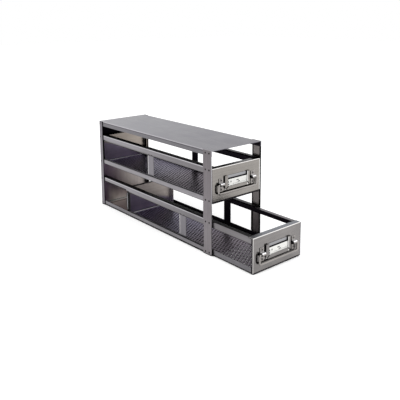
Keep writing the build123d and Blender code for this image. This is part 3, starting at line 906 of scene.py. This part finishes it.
def wire(line, size, flat, sides=20, end_steps=4):
    """A round wire along a line that lies in one plane: a ring at each point, from the line's own side
    direction and the plane's normal, and at each end rings that close in a shallow dome."""
    tangent = np.gradient(line, axis=0)
    tangent[0], tangent[-1] = line[1] - line[0], line[-1] - line[-2]
    tangent /= np.linalg.norm(tangent, axis=1, keepdims=True)
    flat = np.asarray(flat, float)
    side = np.cross(tangent, flat)
    radius = np.full(len(line), size / 2)
    angle = np.linspace(0, np.pi / 2, end_steps + 1)[1:]
    dome = size / 8
    head = line[0] + tangent[0] * (dome - dome * np.sin(angle[::-1]))[:, None]
    tail = line[-1] - tangent[-1] * (dome - dome * np.sin(angle))[:, None]
    first, last = line[:1] + tangent[:1] * dome, line[-1:] - tangent[-1:] * dome
    line = np.concatenate((head, first, line[1:-1], last, tail))
    radius = np.concatenate((size / 2 * np.cos(angle[::-1]), radius, size / 2 * np.cos(angle)))
    side = np.concatenate((np.repeat(side[:1], end_steps, 0), side, np.repeat(side[-1:], end_steps, 0)))
    turns = np.arange(sides) * 2 * np.pi / sides
    ring = side[:, None] * np.cos(turns)[:, None] + flat * np.sin(turns)[:, None]
    points = line[:, None] + ring * radius[:, None, None]
    return points.reshape(-1, 3), grid_faces(len(line), sides)


def card_sheet(low, high, corner, bow, rings=8, sides=64):
    """A thin card: its outline is a rounded rectangle, the corner of a box in the middle plus a circle
    of the corner's radius at each angle. Rings shrink from it to the middle on both faces, and both
    bow forward by the bow times one less the square of the place across."""
    low, high = np.array(low), np.array(high)
    half = (high - low) / 2
    middle = (low + high) / 2
    turns = (np.arange(sides) + 0.5) * 2 * np.pi / sides
    signs = np.stack((np.sign(np.cos(turns)), np.sign(np.sin(turns))), 1)
    outline = signs * (half[[0, 2]] - corner) + corner * np.stack((np.cos(turns), np.sin(turns)), 1)
    share = np.linspace(0, 1, rings)
    shares = np.concatenate((share, share[::-1]))
    thickness = np.concatenate((np.full(rings, -half[1]), np.full(rings, half[1])))
    flat = outline[None] * shares[:, None, None]
    lift = bow * (1 - (flat[..., 0] / half[0]) ** 2)
    y = middle[1] + thickness[:, None] - lift
    points = np.stack((middle[0] + flat[..., 0], y, middle[2] + flat[..., 1]), axis=-1)
    return points.reshape(-1, 3), grid_faces(len(shares), sides)


class RACK_OT_sheet_finish(bpy.types.Operator):
    """Give every sheet of the frame and the drawers its brushed finish"""

    bl_idname = "rack.sheet_finish"
    bl_label = "Sheet finish"

    def execute(self, context):
        colours = context.scene.rack_colours
        dress(cover_finish(colours), "top_cover")
        dress(rear_finish(colours), "rear_panel")
        dress(post_finish(colours), "left_post", "right_post")
        dress(strap_finish(colours), *(f"{level}_{side}_strap" for level in LEVELS for side in SIDES))
        for level in LEVELS:
            dress(rail_finish(colours, level), f"{level}_left_rail", f"{level}_right_rail")
            dress(shelf_finish(colours, level), f"{level}_shelf")
            dress(front_finish(colours, level), f"{level}_front_panel")
            dress(side_finish(colours, level), f"{level}_left_side", f"{level}_right_side")
            dress(wall_finish(colours, level), f"{level}_rear_wall")
            dress(divider_finish(colours, level), f"{level}_left_divider", f"{level}_right_divider")
            dress(holder_finish(colours, level), f"{level}_card_holder")
        return {"FINISHED"}


class RACK_OT_floors(bpy.types.Operator):
    """Make the two perforated floors"""

    bl_idname = "rack.floors"
    bl_label = "Perforated floors"

    def execute(self, context):
        sizes = context.scene.rack_sizes
        for level in LEVELS:
            low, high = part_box(f"{level}_floor")
            points, faces = perforated_sheet(low, high, sizes.hole_pitch, sizes.hole_size, sizes.plain_edge)
            steel = floor_finish(context.scene.rack_colours, level)
            piece = put_mesh(f"{level}_perforated_floor", points, faces, [steel], smooth=False)
            stand_for(piece, f"{level}_floor", f"{level}_drawer")
        return {"FINISHED"}


class RACK_OT_bails(bpy.types.Operator):
    """Make the two wire handles"""

    bl_idname = "rack.bails"
    bl_label = "Bail handles"

    def execute(self, context):
        sizes = context.scene.rack_sizes
        steel = wire_finish(context.scene.rack_colours)
        radius = sizes.wire_size / 2
        for level in LEVELS:
            low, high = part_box(f"{level}_bail")
            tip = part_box(f"{level}_right_strap")[0].x + sizes.wire_end_gap
            y = (low.y + high.y) / 2
            arm, grip, pivot = high.x - radius, low.z + radius, high.z - radius
            half = [(tip, y, pivot), (arm, y, pivot), (arm, y, grip)]
            corners = [(-x, y, z) for x, y, z in half] + half[::-1]
            points, faces = wire(wire_path(corners, sizes.wire_bend), sizes.wire_size, (0, 1, 0))
            piece = put_mesh(f"{level}_wire_bail", points, faces, [steel])
            stand_for(piece, f"{level}_bail", f"{level}_bail")
        return {"FINISHED"}


class RACK_OT_rivets(bpy.types.Operator):
    """Make the pulled rivets of the frame, the dividers and the straps"""

    bl_idname = "rack.rivets"
    bl_label = "Pulled rivets"

    def execute(self, context):
        colours = context.scene.rack_colours
        steels = rivet_finishes("rivet", colours.rivets, colours)
        bright_steels = rivet_finishes("strap_rivet", colours.strap_rivets, colours)
        for side, sign in zip(SIDES, (-1, 1)):
            for row in (f"{side}_post", f"{side}_rear"):
                places = frame_places(f"{row}_rivets", sign)
                piece = rivet_set(row, FRAME_RIVET, ALONG_X, places, steels)
                stand_for(piece, f"{row}_rivets", "rack")
        for level in LEVELS:
            row = f"{level}_divider"
            piece = rivet_set(row, DIVIDER_RIVET, ALONG_X, divider_places(f"{row}_rivets"), steels)
            stand_for(piece, f"{row}_rivets", f"{level}_drawer")
            row = f"{level}_strap"
            piece = rivet_set(row, STRAP_RIVET, ALONG_Y, strap_places(f"{row}_rivets"), bright_steels)
            stand_for(piece, f"{row}_rivets", f"{level}_drawer")
        return {"FINISHED"}


def middles(low, high, head):
    """The places of the first and last rivet of a row from the ends of the row, or the one place."""
    return sorted({round(low + head / 2, 6), round(high - head / 2, 6)})


def frame_places(node, sign):
    """Where the rivets of one side of the frame bear: a row at the middle of each runner's web."""
    low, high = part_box(node)
    outer = high.x - FRAME_RIVET[1] if sign > 0 else low.x + FRAME_RIVET[1]
    runners = ["top_cover"] + [f"{level}_{kind}" for level in LEVELS for kind in ("shelf", "left_rail")]
    heights = [sum(corner.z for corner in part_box(name)) / 2 for name in runners]
    return [(outer, y, z, sign) for y in middles(low.y, high.y, SOLID_HEAD) for z in heights]


def divider_places(node):
    """Where the rivets of a drawer's two dividers bear."""
    low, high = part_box(node)
    outer = high.x - DIVIDER_RIVET[1]
    head = DIVIDER_RIVET[0]
    return [(sign * outer, y, z, sign) for sign in (-1, 1)
            for y in middles(low.y, high.y, head) for z in middles(low.z, high.z, head)]


def strap_places(node):
    """Where the rivets of a handle's straps bear."""
    low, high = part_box(node)
    head = STRAP_RIVET[0]
    return [(x, low.y + STRAP_RIVET[1], z, -1)
            for x in middles(low.x, high.x, head) for z in middles(low.z, high.z, head)]


class RACK_OT_cards(bpy.types.Operator):
    """Make the two label cards"""

    bl_idname = "rack.cards"
    bl_label = "Label cards"

    def execute(self, context):
        sizes = context.scene.rack_sizes
        for level in LEVELS:
            low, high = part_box(f"{level}_label_card")
            points, faces = card_sheet(low, high, sizes.card_corner, sizes.card_bow)
            paper = card_finish(context.scene.rack_colours, level)
            piece = put_mesh(f"{level}_paper_card", points, faces, [paper], smooth=False)
            stand_for(piece, f"{level}_label_card", f"{level}_card")
        return {"FINISHED"}


# Name, place in metres, size in metres and power in watts of each lamp
LAMPS = (
    ("key_lamp", (-1.4, -1.6, 1.9), 1.4, 16.0),
    ("fill_lamp", (1.9, -1.4, 1.3), 1.8, 7.0),
    ("rear_lamp", (0.4, 2.2, 1.8), 1.6, 7.0),
)


class RACK_OT_stage(bpy.types.Operator):
    """Set the floor, the lamps, the white surroundings and the camera"""

    bl_idname = "rack.stage"
    bl_label = "Stage"

    def execute(self, context):
        make_floor()
        make_surroundings(context.scene)
        for lamp in LAMPS:
            make_lamp(*lamp)
        make_camera(context.scene)
        context.scene.view_settings.view_transform = "Standard"
        return {"FINISHED"}


def make_lamp(name, place, size, power):
    """A square soft lamp that points at the middle of the rack."""
    light = bpy.data.lights.new(name, "AREA")
    light.size = size
    light.energy = power
    lamp = bpy.data.objects.new(name, light)
    lamp.location = place
    low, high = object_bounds()
    lamp.rotation_euler = ((low + high) / 2 - lamp.location).to_track_quat("-Z", "Y").to_euler()
    bpy.context.scene.collection.objects.link(lamp)


def seen_white(tree):
    """1 for what the camera, a gloss or a clear piece shows, and 0 for what only lights."""
    path = tree.nodes.new("ShaderNodeLightPath")
    shown = maths(tree, "ADD", path.outputs["Is Camera Ray"], path.outputs["Is Glossy Ray"])
    shown = maths(tree, "ADD", shown, path.outputs["Is Transmission Ray"])
    return maths(tree, "MINIMUM", shown, 1.0)


FLOOR_REACH = 8.0
FLOOR_GREY = 0.8
FLOOR_GLOW = 0.45
CONTACT_REACH = 12 * MM
CONTACT_OPEN = (0.35, 0.6)  # how open the floor is where its painted contact shadow is full and where it ends, under the rack and beside it
# colour of the floor in its painted contact shadow
CONTACT_SHADOW_GREY = 0.02
SKY_LIGHT = 0.9


def make_surroundings(scene):
    """White surroundings that light the rack evenly and show at full strength."""
    world = bpy.data.worlds.new("surroundings")
    world.use_nodes = True
    tree = world.node_tree
    strength = ranged(tree, seen_white(tree), 0, 1, SKY_LIGHT, 1.0, smooth=False)
    tree.links.new(strength, tree.nodes["Background"].inputs["Strength"])
    tree.nodes["Background"].inputs["Color"].default_value = (1, 1, 1, 1)
    scene.world = world


def make_floor():
    """A wide pale floor whose own glow brings it to white. The glow and the floor's colour fade to a painted
    contact shadow in the seam under the rack and beside it, and the rack's cast soft shadow still shows."""
    reach = FLOOR_REACH
    corners = np.array([(-reach, -reach, 0), (reach, -reach, 0), (reach, reach, 0), (-reach, reach, 0)])
    material, tree, shader = new_material("floor_white")
    shader.inputs["Roughness"].default_value = 0.9
    shader.inputs["Specular IOR Level"].default_value = 0.0
    shader.inputs["Emission Color"].default_value = (1, 1, 1, 1)
    # free: 1 on open floor, 0 in the painted contact shadow
    free = ranged(tree, open_share(tree, CONTACT_REACH), *CONTACT_OPEN, 0, 1)
    tree.links.new(mixed(tree, free, (CONTACT_SHADOW_GREY,) * 3, (FLOOR_GREY,) * 3), shader.inputs["Base Color"])
    glow = maths(tree, "MULTIPLY", free, FLOOR_GLOW)
    tree.links.new(maths(tree, "MULTIPLY", seen_white(tree), glow), shader.inputs["Emission Strength"])
    put_mesh("floor", corners, np.array([[0, 1, 2, 3]]), [material])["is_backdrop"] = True


CAMERA_PLACE = Vector((-0.77101, -1.01288, 0.47771))
CAMERA_AHEAD = Vector((0.63558, 0.75432, -0.16441))
CAMERA_ROLL = np.radians(-0.322)
CAMERA_LENS = 50.594  # mm, on a sensor 36 mm wide
CAMERA_SHIFT = -0.22878  # the photograph was cropped off its lens's axis


def make_camera(scene):
    """The camera, where the photograph was taken from."""
    data = bpy.data.cameras.new("camera")
    data.lens = CAMERA_LENS
    data.sensor_width = 36.0
    data.shift_y = CAMERA_SHIFT
    camera = bpy.data.objects.new("camera", data)
    turn = CAMERA_AHEAD.to_track_quat("-Z", "Y").to_matrix() @ Matrix.Rotation(CAMERA_ROLL, 3, "Z")
    camera.matrix_world = Matrix.Translation(CAMERA_PLACE) @ turn.to_4x4()
    scene.collection.objects.link(camera)
    scene.camera = camera


class RACK_PT_panel(bpy.types.Panel):
    """Lists the rack's pieces, sizes and colours"""

    bl_idname = "RACK_PT_panel"
    bl_label = "Freezer drawer rack"
    bl_space_type = "VIEW_3D"
    bl_region_type = "UI"
    bl_category = "Rack"

    def draw(self, context):
        for operator in OPERATORS:
            self.layout.operator(operator.bl_idname)
        for group in (context.scene.rack_sizes, context.scene.rack_colours):
            for name in group.__annotations__:
                self.layout.prop(group, name)


GROUPS = (RackColours, RackSizes)
OPERATORS = (
    RACK_OT_sheet_finish, RACK_OT_floors, RACK_OT_bails, RACK_OT_rivets, RACK_OT_cards, RACK_OT_stage,
)


def register():
    """Makes the rack's settings, operators and panel known to Blender."""
    for kind in GROUPS + OPERATORS + (RACK_PT_panel,):
        bpy.utils.register_class(kind)
    bpy.types.Scene.rack_colours = bpy.props.PointerProperty(type=RackColours)
    bpy.types.Scene.rack_sizes = bpy.props.PointerProperty(type=RackSizes)


def unregister():
    """Takes them away again."""
    del bpy.types.Scene.rack_sizes
    del bpy.types.Scene.rack_colours
    for kind in reversed(GROUPS + OPERATORS + (RACK_PT_panel,)):
        bpy.utils.unregister_class(kind)


def main():
    """Makes every piece and the stage."""
    register()
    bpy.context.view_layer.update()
    bpy.ops.rack.sheet_finish()
    bpy.ops.rack.floors()
    bpy.ops.rack.bails()
    bpy.ops.rack.rivets()
    bpy.ops.rack.cards()
    bpy.ops.rack.stage()


if __name__ == "__main__":
    main()
